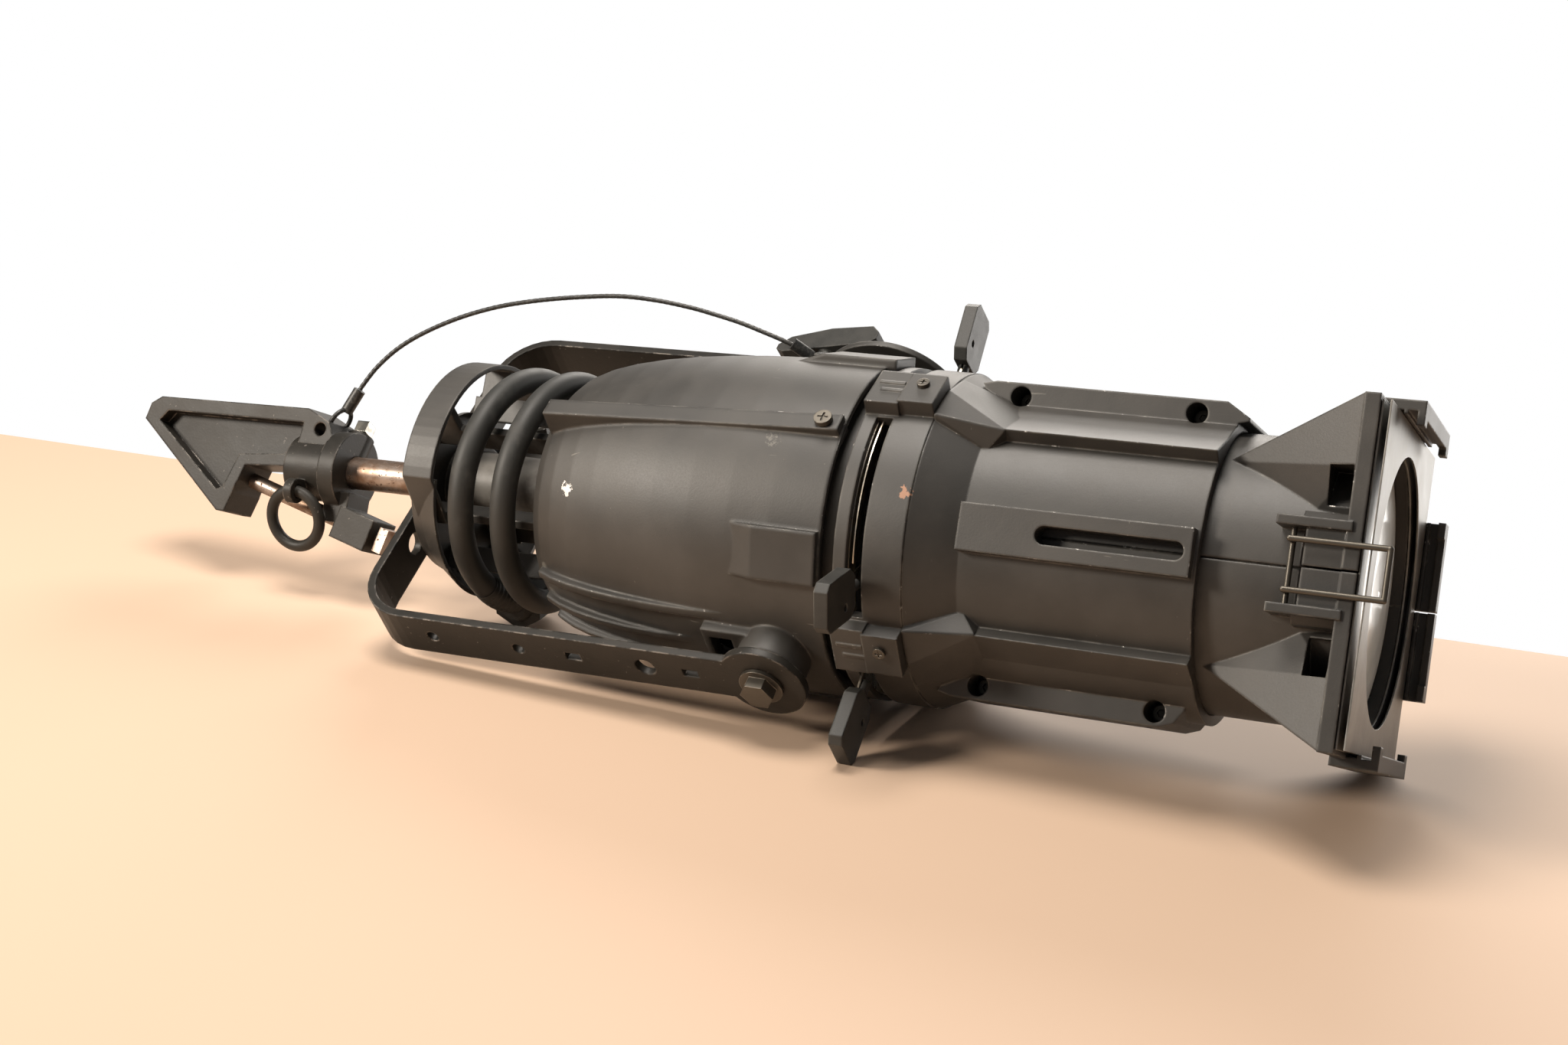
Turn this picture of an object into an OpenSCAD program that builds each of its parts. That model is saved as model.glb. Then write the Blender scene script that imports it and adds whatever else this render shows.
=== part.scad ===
// Ellipsoidal profile spotlight with yoke, hook clamp and wound lead.
// Lantern axes: X forward along the light, Z towards the barrel's top,
// tilt pivot at X = 0. lie() then lays the lantern on its side on a table.

/* [Pose] */
// Turn of the barrel in the reflector housing, degrees
barrel_turn = 35; // [15:1:45]
// Nose-up slope of the lantern's axis as it lies, degrees
lie_pitch = 3; // [0:0.5:5]
// Roll of the lantern about its axis as it lies, degrees
lie_roll = 68.5; // [62:0.5:75]
// Tilt of the yoke on its pivots as it lies, degrees
yoke_lean = 0.8; // [0:0.1:3]

/* [Reflector housing] */
// Outer radius at the front lip
house_r = 98; // [94:1:102]
// Outer radius at the tail
house_tail_r = 67; // [64:1:72]
// Front lip, ahead of the tilt pivot
house_front = 32; // [28:1:36]
// Tail, behind the tilt pivot
house_back = 165; // [155:1:175]
// Wall of the casting
house_wall = 3; // [2:0.5:4]
// Reach of the pivot bosses beyond the housing
boss_out = 8; // [7:0.5:10]

/* [Rear cap and lamp] */
// Gap between the cap and the yoke's base
cap_gap = 14; // [13:0.5:18]
// Outer radius of the eight neck posts
neck_r = 55; // [50:1:55]
// Outer radius of the cap
cap_r = 76; // [72:1:78]
// Depth of the cap
cap_depth = 25; // [20:1:26]
// Radius of the lamp envelope
lamp_r = 9; // [7:0.5:11]
// Radius of the ceramic lamp socket
socket_r = 20; // [16:1:24]

/* [Gate and shutters] */
// Outer radius of the gate ring
gate_r = 97; // [95:0.5:98]
// Length of the gate ring
gate_len = 40; // [36:1:42]
// Width of each shutter slot
slot_w = 9.6; // [9:0.1:10]
// Arc of each shutter slot, degrees
slot_arc = 70; // [60:1:74]
// Thickness of a shutter blade
blade_t = 1.2; // [0.8:0.1:1.4]
// Width of a shutter blade
blade_w = 70; // [60:1:72]
// Depth of a shutter blade
blade_d = 46; // [36:1:48]
// Thickness of a shutter grip
grip_t = 8; // [6:0.5:9]
// Width of a shutter grip
grip_w = 28; // [22:1:30]
// Length of a shutter grip
grip_len = 38; // [30:1:40]
// Radius of the gate aperture
aperture_r = 38; // [30:1:40]

/* [Barrel] */
// Outer radius of the barrel
barrel_r = 84; // [83:0.5:86]
// Length of the cone behind the barrel
cone_len = 27; // [24:1:30]
// Length of the barrel
barrel_len = 129; // [124:1:134]
// Height of the flat focus pads from the axis
pad_h = 90.6; // [89:0.2:92]
// Width of the focus pads
pad_w = 26; // [22:1:30]
// Radius of the raised shoulders beside the flanges
shoulder_r = 90.5; // [88:0.5:91]
// Half width of the low panel between the shoulders
panel_w = 53; // [50:1:54]
// Distance of the flange screws from the axis
flange_y = 81.4; // [80:0.2:83]
// Spacing of the flange screws along the barrel
flange_pitch = 100; // [90:1:104]
// Thickness of each flange
flange_t = 34; // [26:1:36]
// Width of the focus slot
focus_w = 10; // [8:0.5:11]
// Length of the focus slot
focus_len = 80; // [70:1:90]

/* [Lens tube] */
// Outer radius of the lens tube
tube_r = 77.7; // [77:0.1:77.8]
// Wall of the lens tube
tube_wall = 2.6; // [2.4:0.1:3.4]
// Half side of the square accessory holder
holder_h = 91; // [88:1:94]
// Thickness of the holder plate
holder_t = 8; // [6:1:9]
// Front face of the holder plate from the pivot
holder_x = 318; // [310:1:322]
// Radius of the holder's round opening
opening_r = 74; // [70:0.5:74.5]
// Reach of the brackets ahead of the plate
bracket_l = 17; // [15:1:20]
// Length of each bracket
bracket_w = 102; // [90:1:110]
// Half width of the latch boss
latch_w = 19; // [17:1:21]
// Height of the latch boss from the axis
latch_h = 91; // [88:0.5:93]
// Radius of the latch wire
wire_r = 1.6; // [1.2:0.1:1.8]
// Thickness of a lens rim
lens_rim = 5; // [4:0.5:6]
// Crown height of each lens
lens_crown = 7; // [5:0.5:7.5]

/* [Yoke] */
// Distance of the arms' outer faces from the pivot bosses
arm_gap = 15; // [14:0.5:18]
// Distance of the yoke's base from the pivot
yoke_len = 272; // [270:1:280]
// Width of the yoke strip
yoke_w = 31; // [28:1:36]
// Thickness of the yoke strip
yoke_t = 5; // [4:0.5:6]
// Bend radius of the yoke
yoke_bend = 34; // [28:1:40]
// Radius of the rounded arm ends
yoke_end_r = 26; // [22:1:28]
// Radius of the pivot bolts
pivot_r = 5; // [4:0.5:6]
// Radius of the tilt lock disc
lock_r = 47; // [42:1:47]
// Distance of the T-handle from the pivot
tee_back = 53; // [53:1:62]
// Length of the T-handle's bar
tee_len = 74; // [66:1:78]

/* [Clamp] */
// Radius of the steel spigot
spigot_r = 10.5; // [9:0.5:12]
// Length of spigot between the yoke and the clamp
spigot_gap = 68; // [64:1:76]
// Radius of the clamp's hub
hub_r = 21; // [19:0.5:22]
// Radius of the pipe that the hook fits
pipe_r = 21.2; // [20:0.1:22]
// Width of the hook casting
hook_w = 30; // [26:1:34]
// Radius of the pipe bolt
jaw_bolt_r = 5; // [4:0.5:5.5]
// Wire radius of the safety ring
ring_wire_r = 3.7; // [3:0.1:4]
// Mean radius of the safety ring
ring_r = 18.5; // [17:0.5:20]

/* [Cords] */
// Diameter of the power lead
lead_d = 15.5; // [13:0.5:17]
// Radius that the lead is wound at
wind_r = 68.5; // [66:0.5:70]
// Width of the plug across its flats
plug_af = 32; // [28:1:33]
// Length of the plug's body
plug_len = 40; // [34:1:42]
// Diameter of the safety cable
rope_d = 3; // [2:0.5:4]

/* [Fits] */
// Radial running clearance of pins in bores
run_fit = 0.05; // [0.02:0.01:0.1]
// Clearance between large moving surfaces
slide_fit = 0.3; // [0.2:0.05:0.5]

/* [Hidden] */
$fn = 64;

// Height of the pivot above the table, and the plan position of the frame's origin
seat = [83.2, 6.7, 101.64];

black_paint = [0.13, 0.13, 0.13];
grip_black = [0.17, 0.17, 0.17];
bare_steel = [0.45, 0.38, 0.34];
zinc = [0.62, 0.62, 0.62];

boss_reach = house_r + boss_out;
yoke_half = boss_reach + arm_gap;         // outer faces of the yoke's arms
neck_len = yoke_len - house_back - cap_depth - cap_gap;
gate_x = house_front + 8;                 // back face of the gate ring
slot_x = gate_x + 7.4;                    // back edge of the shutter slots
slot_mid = slot_x + slot_w / 2;
gate_wall = 6.5;
block_h = gate_r + 7.5;                   // height of the corner blocks from the axis
gate_front = gate_x + gate_len;
barrel_x = gate_front + cone_len;
barrel_front = barrel_x + barrel_len;
barrel_in = tube_r + slide_fit;
saddle_y = 74.5;                          // where the shoulder meets the flange
tail_x = -house_back;
cap_x = tail_x - neck_len;                // open front edge of the cap
cap_back = cap_x - cap_depth;
tube_x = barrel_x + 38;                   // back end of the lens tube
tube_in = tube_r - tube_wall;
flare_x = barrel_front + 5;               // where the corner gussets start
plate_x = holder_x - holder_t;
focus_x = barrel_x + 43;                  // back end of the focus slots
stud_x = focus_x + focus_w / 2 + 6;       // focus stud as stored
hinge_x = plate_x - 27;                   // latch hinge
hinge_z = latch_h - 8;
hub_back = -(yoke_len + spigot_gap + 5);  // hub's face towards the yoke
hub_len = 38;
hook_x = hub_back - hub_len;
lug_tilt = 14.8;                          // slope of the pipe bolt, degrees
shutter_turn = [114, 152, -18, 262];      // direction of each shutter, from +Y
shutter_out = [0, 7.2, 10, 0];            // how far each is drawn out
grip_start = gate_r + 6;

// ---- frames ----
// Lays the lantern on its side, as it lies on the table
module lie() {
  translate(seat) rotate([0, -lie_pitch, 0]) rotate([lie_roll, 0, 0]) children();
}
// Housing's own frame: Y along the tilt pivot, Z to the housing's top
module housing_frame() { lie() rotate([-barrel_turn, 0, 0]) children(); }
// Yoke's own frame: the housing's, tilted about the pivot
module yoke_frame() { housing_frame() rotate([0, -yoke_lean, 0]) children(); }
// Clamp's frame: the yoke's, with Y and Z turned back to the barrel's
module clamp_frame() { yoke_frame() rotate([barrel_turn, 0, 0]) children(); }
// Turns Z to the lantern's axis
module along_x() { rotate([0, 90, 0]) children(); }
// Turns Z to the pivot's outward direction, side -1 near, 1 far
module out_y(side) { rotate([-90 * side, 0, 0]) children(); }
// Places a child that is drawn around +Y at an angle about the axis
module around(angle) { rotate([angle, 0, 0]) children(); }
// Ring of revolution about X from [radius, x] points
module turned(points) { rotate([0, 90, 0]) rotate_extrude() polygon(points); }
// Tube along X
module tube_x_(x0, x1, ro, ri) {
  difference() {
    translate([x0, 0, 0]) along_x() cylinder(r = ro, h = x1 - x0);
    if (ri > 0) translate([x0 - 1, 0, 0]) along_x() cylinder(r = ri, h = x1 - x0 + 2);
  }
}
// Pan head screw standing on z = 0, shank down
module pan_screw_shape(head_r, head_h, shank_r, shank_l) {
  difference() {
    cylinder(r = head_r, h = head_h);
    for (a = [0, 90]) rotate(a) translate([-head_r * 0.6, -0.5, head_h - 1])
      cube([head_r * 1.2, 1, 2]);
  }
  translate([0, 0, -shank_l]) cylinder(r = shank_r, h = shank_l + 0.01);
}

// ---- reflector housing ----
// Outer radius of the housing at x: a quarter ellipse behind the pivot
function house_at(x) = x > 0 ? house_r
  : house_tail_r + (house_r - house_tail_r) * sqrt(1 - pow(x / house_back, 2));
shell_steps = [for (i = [0 : 10]) -house_back * cos(90 * i / 10)];
lip_seat = house_r - 10;                  // bore that the gate ring's neck turns in
rail_w = 11.5;
rail_y = 12;                              // rails sit this far off the pivot plane
rail_front = house_r + 4.5;
rail_back = house_r - 7;
// Rib that stands 5 proud of the shell from step k0 and runs out at step k1
module rib(k0, k1) {
  rotate([90, 0, 90]) rotate([0, 0, -1.5]) rotate_extrude(angle = 3) polygon(concat(
    [[house_at(shell_steps[k0]) - 1.5, shell_steps[k0]]],
    [for (k = [k0 : k1]) [house_at(shell_steps[k])
      + 5.6 * (1 - pow((k - k0) / (k1 - k0), 3)) - 0.2, shell_steps[k]]],
    [for (k = [k1 : -1 : k0 + 1]) [house_at(shell_steps[k]) - 1.5, shell_steps[k]]]));
}

// Raised pads: [angle from the far pivot, height, front end]; the one beneath is low
pads = [[49, 4, 38], [141.5, 4, 31], [229, 0.7, 31], [321.5, 4, 31]];

module housing_shell() {
  outer = [for (x = shell_steps) [house_at(x), x]];
  inner = [for (i = [10 : -1 : 0]) [house_at(shell_steps[i]) - house_wall, shell_steps[i]]];
  turned(concat([[50, tail_x], [house_tail_r, tail_x]], outer,
    [[house_r, house_front], [house_r - house_wall, house_front],
     [house_r - house_wall, 28], [lip_seat + slide_fit, 28], [lip_seat + slide_fit, 22],
     [house_r - house_wall, 22]], inner,
    [[house_tail_r - house_wall - 1, tail_x + 3], [50, tail_x + 3]]));
}

module reflector_housing() {
  color(black_paint) housing_frame() difference() {
    union() {
      housing_shell();
      // straight seam rails along the housing's top and bottom
      for (s = [1, -1]) rotate([s > 0 ? 0 : 180, 0, 0]) translate([0, -rail_y, 0])
        rotate([90, 0, 0]) linear_extrude(rail_w, center = true) polygon([
          [tail_x + 6, 60], [tail_x + 6, rail_back], [house_front - 1, rail_front],
          [house_front - 1, house_r - 8], [tail_x + 50, 70]]);
      // long ribs that run back from each pivot
      for (side = [0, 180], k = [0 : 2]) around(167 + 14 * k + side) rib(2, 9 - k);
      // raised pads beside the pivots, ramped at the back
      for (p = pads) around(p[0] - 90) rotate([90, 0, 0]) linear_extrude(30, center = true)
        polygon([[-52, house_r - 12], [-8, house_r + p[1]], [p[2], house_r + p[1]],
          [p[2], house_r - 2], [house_front - 2, house_r - 2], [house_front - 2, house_r - 12]]);
      // pivot bosses
      out_y(-1) translate([0, 0, 80]) cylinder(r = 21, h = boss_reach + 6.8 - 80);
      out_y(1) translate([0, 0, 80]) cylinder(r = 21, h = boss_reach - 80);
      translate([-42, -house_r - 4, -17]) cube([40, 20, 34]);
    }
    // keeps everything out of the hollow shell
    turned(concat([[0, tail_x + 3]], [for (i = [0 : 10])
      [house_at(shell_steps[i]) - house_wall, max(shell_steps[i], tail_x + 3)]],
      [[house_r - house_wall, 22], [0, 22]]));
    tube_x_(21, house_front + 1, lip_seat + slide_fit, 0);
    for (side = [1, -1]) out_y(side) translate([0, 0, 70])
      cylinder(r = pivot_r, h = boss_reach);
    // bores for the two rail screws
    for (s = [1, -1]) translate([house_front - 11, -s * rail_y, s * (house_r - 12)])
      cylinder(r = 2, h = 50, center = true);
    // pocket beside the near pivot
    translate([-38, -house_r - 6, -11]) cube([14, 10, 22]);
  }
}

module housing_screws() {
  color(zinc) housing_frame() for (s = [1, -1])
    translate([house_front - 11, -s * rail_y, s * rail_front]) rotate([s > 0 ? 0 : 180, 0, 0])
      pan_screw_shape(5.2, 3.2, 2, 10);
}

module reflector() {
  // glass bowl on a rim that rests inside the front lip
  mouth = house_r - house_wall - 0.3;
  bowl = house_r - 38;
  steps = [for (i = [0 : 8]) i / 8];
  color("silver") housing_frame() turned(concat(
    [for (t = steps) [26 + bowl * sin(90 * t), -120 + 132 * (1 - cos(90 * t))]],
    [[mouth, 12], [mouth, 14.5], [bowl + 23, 14.5]],
    [for (i = [8 : -1 : 0]) [23.3 + bowl * sin(90 * steps[i]),
      -118 + 132 * (1 - cos(90 * steps[i]))]]));
}

// ---- rear cap, lamp and lead ----
post_n = 6;
guard = [96, -48];                        // span of the hand guard, from +Y of the barrel
function ring_at(r, a) = [r * cos(a), r * sin(a)];
// Hand guard: an arc, then a flat to the cup, drawn in the Y-Z plane
module guard_band() {
  arc_n = 30;
  a = [for (i = [0 : arc_n]) guard[1] + (guard[0] - guard[1]) * i / arc_n];
  translate([cap_back + 5, 0, 0]) rotate([90, 0, 90]) linear_extrude(cap_depth - 5) polygon(concat(
    [ring_at(58.3, guard[1] - 26)], [for (t = a) ring_at(cap_r, t)], [ring_at(58.3, guard[0] + 27)],
    [ring_at(55, guard[0] + 28)], [for (i = [arc_n : -1 : 0]) ring_at(cap_r - 3, a[i])],
    [ring_at(55, guard[1] - 28)]));
}
module lamp_cap() {
  cup = [[40, cap_back], [57, cap_back], [60, cap_back + 8], [71, cap_x],
    [68, cap_x], [57, cap_back + 9], [55, cap_back + 3], [40, cap_back + 3]];
  color(black_paint) lie() difference() {
    union() {
      // solid part of the cup, then the guard over its open part
      rotate([90, 0, 90]) rotate([0, 0, guard[0]])
        rotate_extrude(angle = 360 - guard[0] + guard[1]) polygon(cup);
      guard_band();
      tube_x_(cap_back, cap_back + 3, 44, 0);
      for (i = [0 : post_n - 1]) around(-1 + 60 * i) {
        translate([cap_back + 1, 40, -2.5]) cube([tail_x - cap_back - 1, neck_r - 40, 5]);
        translate([cap_back + 5, 42, -2.5]) cube([cap_depth - 7, i < 2 || i == 5
          ? cap_r - 44 : 15, 5]);
      }
      tube_x_(cap_back + 2, cap_back + 16, socket_r + 4, 0);
      // gland block that holds the lead on the far side
      around(gland_turn) translate([along(lead_end) - 9, 41, -12])
        cube([18, wind_r + lead_d / 2 + 4 - 41, 12]);
    }
    tube_x_(cap_back - 1, cap_back + 20, 4 + run_fit, 0);
    tube_x_(cap_back + 6, cap_back + 20, socket_r, 0);
  }
}

module lamp_socket() {
  color("lightgray") housing_frame() difference() {
    union() {
      tube_x_(cap_back + 8, tail_x + 14, socket_r, 0);
      tube_x_(tail_x - 5, tail_x, 39.7, 0);
    }
    tube_x_(tail_x + 4, tail_x + 15, lamp_r + 3, 0);
  }
}

module lamp() {
  color([0.8, 0.85, 0.9, 0.5]) housing_frame() {
    tube_x_(tail_x + 4, tail_x + 18, lamp_r + 3, 0);
    tube_x_(tail_x + 18, tail_x + 70, lamp_r, 0);
    translate([tail_x + 70, 0, 0]) sphere(r = lamp_r);
  }
}

module centring_knob() {
  color(grip_black) housing_frame() {
    tube_x_(cap_back - 4.5, cap_back - 0.3, 16, 0);
    tube_x_(cap_back - 1, cap_back + 7.5, 4, 0);
  }
}

module near_pivot_bolt() {
  color(zinc) housing_frame() out_y(-1) {
    translate([0, 0, yoke_half + 2.6]) cylinder(r = 10, h = 7, $fn = 6);
    translate([0, 0, yoke_half + 0.2]) cylinder(r = 13, h = 2.4);
    translate([0, 0, 88]) cylinder(r = pivot_r, h = yoke_half + 3 - 88);
  }
}

module far_pivot_bolt() {
  color(zinc) housing_frame() out_y(1) {
    translate([0, 0, yoke_half + 0.2]) cylinder(r = 10, h = 7, $fn = 6);
    translate([0, 0, 88]) cylinder(r = pivot_r, h = yoke_half + 1 - 88);
  }
}

module pivot_washers() {
  inner = yoke_half - yoke_t - slide_fit / 2;
  color(grip_black) housing_frame() {
    out_y(-1) difference() {
      translate([0, 0, boss_reach + 6.8]) cylinder(r = 20, h = inner - boss_reach - 6.8);
      cylinder(r = pivot_r, h = 200);
    }
    out_y(1) difference() {
      translate([0, 0, boss_reach + 4]) cylinder(r = 20, h = inner - boss_reach - 4);
      cylinder(r = pivot_r, h = 200);
    }
  }
}

module tilt_disc() {
  color(black_paint) housing_frame() out_y(1) difference() {
    translate([0, 0, boss_reach]) cylinder(r = lock_r, h = 4);
    cylinder(r = pivot_r, h = 200);
  }
}

// ---- gate, shutters and barrel ----
module gate_ring() {
  neck_r0 = lip_seat;
  color(black_paint) lie() difference() {
    union() {
      turned([[aperture_r, gate_x], [neck_r0 - 3, gate_x], [neck_r0 - 3, 16],
        [neck_r0 + 3, 16], [neck_r0 + 3, 21.7], [neck_r0, 21.7], [neck_r0, gate_x],
        [gate_r, gate_x], [gate_r, gate_front], [gate_r - gate_wall, gate_front],
        [gate_r - gate_wall, gate_x + 3], [aperture_r, gate_x + 3]]);
      // corner blocks that bridge the slots, with their two bars
      for (a = [45 : 90 : 315]) around(a) {
        translate([gate_x, gate_r - 7, -15]) cube([20, block_h - gate_r + 7, 30]);
        translate([gate_x + 19, gate_r - 7, -13.5])
          cube([gate_len - 19, block_h - gate_r + 8, 27]);
        for (s = [0, 1]) translate([gate_x + 3 + 3 * s, block_h - 0.5, -5 + 7 * s])
          cube([15, 1.2, 2.4]);
      }
    }
    for (a = [0 : 90 : 270]) around(a - slot_arc / 2) translate([slot_x, 0, 0])
      rotate([90, 0, 90]) rotate_extrude(angle = slot_arc)
        translate([gate_r - 12, 0]) square([20, slot_w]);
    for (a = [45 : 90 : 315]) around(a) translate([gate_front - 11, gate_r - 8, -3])
      rotate([-90, 0, 0]) cylinder(r = 1.6, h = 20);

  }
}

module bridge_screws() {
  color(zinc) lie() for (a = [45 : 90 : 315]) around(a)
    translate([gate_front - 11, block_h + 1, -3]) rotate([-90, 0, 0])
      pan_screw_shape(3.6, 2.2, 1.6, 12);
}

// One half of the barrel, drawn with its flat joint on z = 0; low is its short flange's side
module barrel_half(low) {
  difference() {
    union() {
      intersection() {
        turned([[barrel_in, barrel_x], [gate_r - gate_wall + 3.5, gate_front],
          [gate_r - 0.5, gate_front], [barrel_r, barrel_x], [barrel_r, barrel_front],
          [barrel_in, barrel_front]]);
        translate([0, -150, 0]) cube([400, 300, 150]);
      }
      for (s = [1, -1]) scale([1, s, 1]) {
        // shoulder along the barrel, seen end on
        translate([barrel_x + 8, 0, 0]) rotate([90, 0, 90]) linear_extrude(barrel_len - 8)
          polygon([[panel_w - 4, 55], [panel_w - 2, shoulder_r * 0.735],
            [panel_w + 3.5, shoulder_r * 0.812], [saddle_y, flange_t],
            [saddle_y, 0], [60, 0]]);
        // its ramp over the cone, up to the corner block
        hull() for (p = [[gate_front + 0.8, 56, 76], [gate_front + 0.8, 60, 79],
          [gate_front + 0.8, 76, 62], [gate_front + 0.8, 86, 42], [gate_front + 0.8, 60, 62],
          [barrel_x + 3, 45, 70], [barrel_x + 12, panel_w - 1.5, 66],
          [barrel_x + 12, panel_w + 3, 73], [barrel_x + 12, saddle_y - 0.5, flange_t],
          [barrel_x + 2, 76, 34]]) translate(p) cube(1, center = true);
      }
      translate([barrel_x, -pad_w / 2, barrel_r - 4])
        cube([barrel_len - 2, pad_w, pad_h - barrel_r + 4]);
      flange(-low, 6);
      flange(low, -7);
    }
    tube_x_(barrel_x - 0.01, barrel_front + 20, barrel_in, 0);
    turned([[0, gate_front - 1], [gate_r - gate_wall + 3.5, gate_front - 1],
      [gate_r - gate_wall + 3.5, gate_front], [barrel_in, barrel_x], [0, barrel_x]]);
    // focus slot
    translate([focus_x + focus_w / 2, -focus_w / 2, 70])
      cube([focus_len - focus_w, focus_w, 40]);
    for (x = [focus_x, focus_x + focus_len - focus_w])
      translate([x + focus_w / 2, 0, 70]) cylinder(r = focus_w / 2, h = 40, $fn = 32);
    for (s = [1, -1], k = [0, 1]) translate([barrel_x + 6 + flange_pitch * k, s * flange_y, 0]) {
      translate([0, 0, flange_t - 20]) cylinder(r = 6, h = 40);
      translate([0, 0, -1]) cylinder(r = 2.5, h = 50);
    }
  }
}

// Screw flange with a chamfered front corner, run past the barrel's front
module flange(s, run) {
  y0 = tube_r - 7;
  y1 = flange_y + 8;
  x0 = barrel_x - 17;
  x1 = barrel_front + run;
  c = run > 0 ? 0 : 5;
  scale([1, s, 1]) linear_extrude(flange_t) polygon([[x0 + 12, y0], [x0, y1 - 2],
    [x0 + 8, y1], [x1 - 13, y1], [x1 - c, y1 - 8 + c], [x1, y1 - 8 - c / 2],
    [x1, run > 0 ? barrel_in + 1.5 : y0 + 1], [x1 - 6, run > 0 ? barrel_in : y0 + 0.5],
    [x1 - 6, y0]]);
}

module barrel_top() { color(black_paint) lie() barrel_half(-1); }
module barrel_bottom() { color(black_paint) lie() rotate([180, 0, 0]) barrel_half(1); }

module barrel_screws() {
  color(zinc) lie() for (s = [1, -1], k = [0, 1])
    translate([barrel_x + 6 + flange_pitch * k, s * flange_y, 0]) {
      translate([0, 0, flange_t - 20]) difference() {
        cylinder(r = 4.4, h = 4.5);
        translate([0, 0, 2]) cylinder(r = 2.2, h = 3, $fn = 6);
      }
      translate([0, 0, -14]) cylinder(r = 2.5, h = flange_t - 6);
    }
}

// Blade k: a plate across the beam, its tang passing out through the slot
module blade(k) {
  plane = slot_x + 1.6 + 1.7 * k;
  r0 = 4 + shutter_out[k];
  lie() around(shutter_turn[k]) translate([plane, 0, 0]) rotate([90, 0, 90])
    translate([0, 0, -blade_t / 2]) linear_extrude(blade_t) polygon([
      [r0, -blade_w / 2], [r0 + blade_d - 14, -blade_w / 2], [r0 + blade_d, -8],
      [grip_start + shutter_out[k] - 3, -4], [grip_start + shutter_out[k] - 3, 4],
      [r0 + blade_d, 8], [r0 + blade_d - 14, blade_w / 2], [r0, blade_w / 2]]);
}

module grip(k) {
  r0 = grip_start + shutter_out[k];
  lie() around(shutter_turn[k]) difference() {
    union() {
      translate([slot_mid, 0, 0]) rotate([90, 0, 90]) translate([0, 0, -grip_t / 2])
        linear_extrude(grip_t) polygon([[r0, -grip_w / 2 + 5], [r0 + 6, -grip_w / 2],
          [r0 + grip_len - 4, -grip_w / 2], [r0 + grip_len, -grip_w / 2 + 4],
          [r0 + grip_len, grip_w / 2 - 4], [r0 + grip_len - 4, grip_w / 2],
          [r0 + 6, grip_w / 2], [r0, grip_w / 2 - 5]]);
      translate([slot_mid, r0 - 9, 0]) rotate([-90, 0, 0]) cylinder(r = 3.4, h = 10);
    }
    // pocket that takes the blade's tang
    translate([slot_x + 1.6 + 1.7 * k, r0 - 3, 0])
      cube([blade_t, 12.1, 8.1], center = true);
    translate([slot_mid - 10, r0 + 13, 6]) along_x() cylinder(r = 2.2, h = 20, $fn = 32);
  }
}

module top_shutter() { color(zinc) blade(0); }
module right_shutter() { color(zinc) blade(1); }
module left_shutter() { color(zinc) blade(2); }
module bottom_shutter() { color(zinc) blade(3); }
module top_grip() { color(grip_black) grip(0); }
module right_grip() { color(grip_black) grip(1); }
module left_grip() { color(grip_black) grip(2); }
module bottom_grip() { color(grip_black) grip(3); }

// ---- lens tube and accessories ----
// Solid corner web from the tube to one corner of the holder plate
module gusset(sy, sz) {
  h = holder_h - 0.6;
  d = (tube_r - 0.4) * cos(45);
  hull() for (p = [[flare_x, d, d], [plate_x - 20, 31.5, 69.5], [plate_x - 20, 69.5, 31.5],
    [plate_x + 1, 30, 72], [plate_x + 1, 72, 30], [plate_x + 1, 54, h - 2.5],
    [plate_x + 1, h - 2.5, 54], [plate_x + 1, h, h]])
      translate([p[0], sy * p[1], sz * p[2]]) cube(1, center = true);
}

// Accessory bracket on one side, drawn at +Y
module bracket() {
  w = bracket_w;
  x1 = holder_x + bracket_l;
  translate([plate_x, holder_h - 0.5, -w / 2]) cube([x1 - plate_x, 5.5, w]);
  translate([x1 - 4, holder_h - 4, -w / 2]) cube([4, 5, w]);
  translate([holder_x + 6, holder_h - 2.5, -w / 2]) cube([2, 3, w]);
  for (s = [1, -1]) translate([x1 - 4, holder_h - 8, s > 0 ? w / 2 - 9 : -w / 2])
    cube([4, 9, 9]);
}

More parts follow.
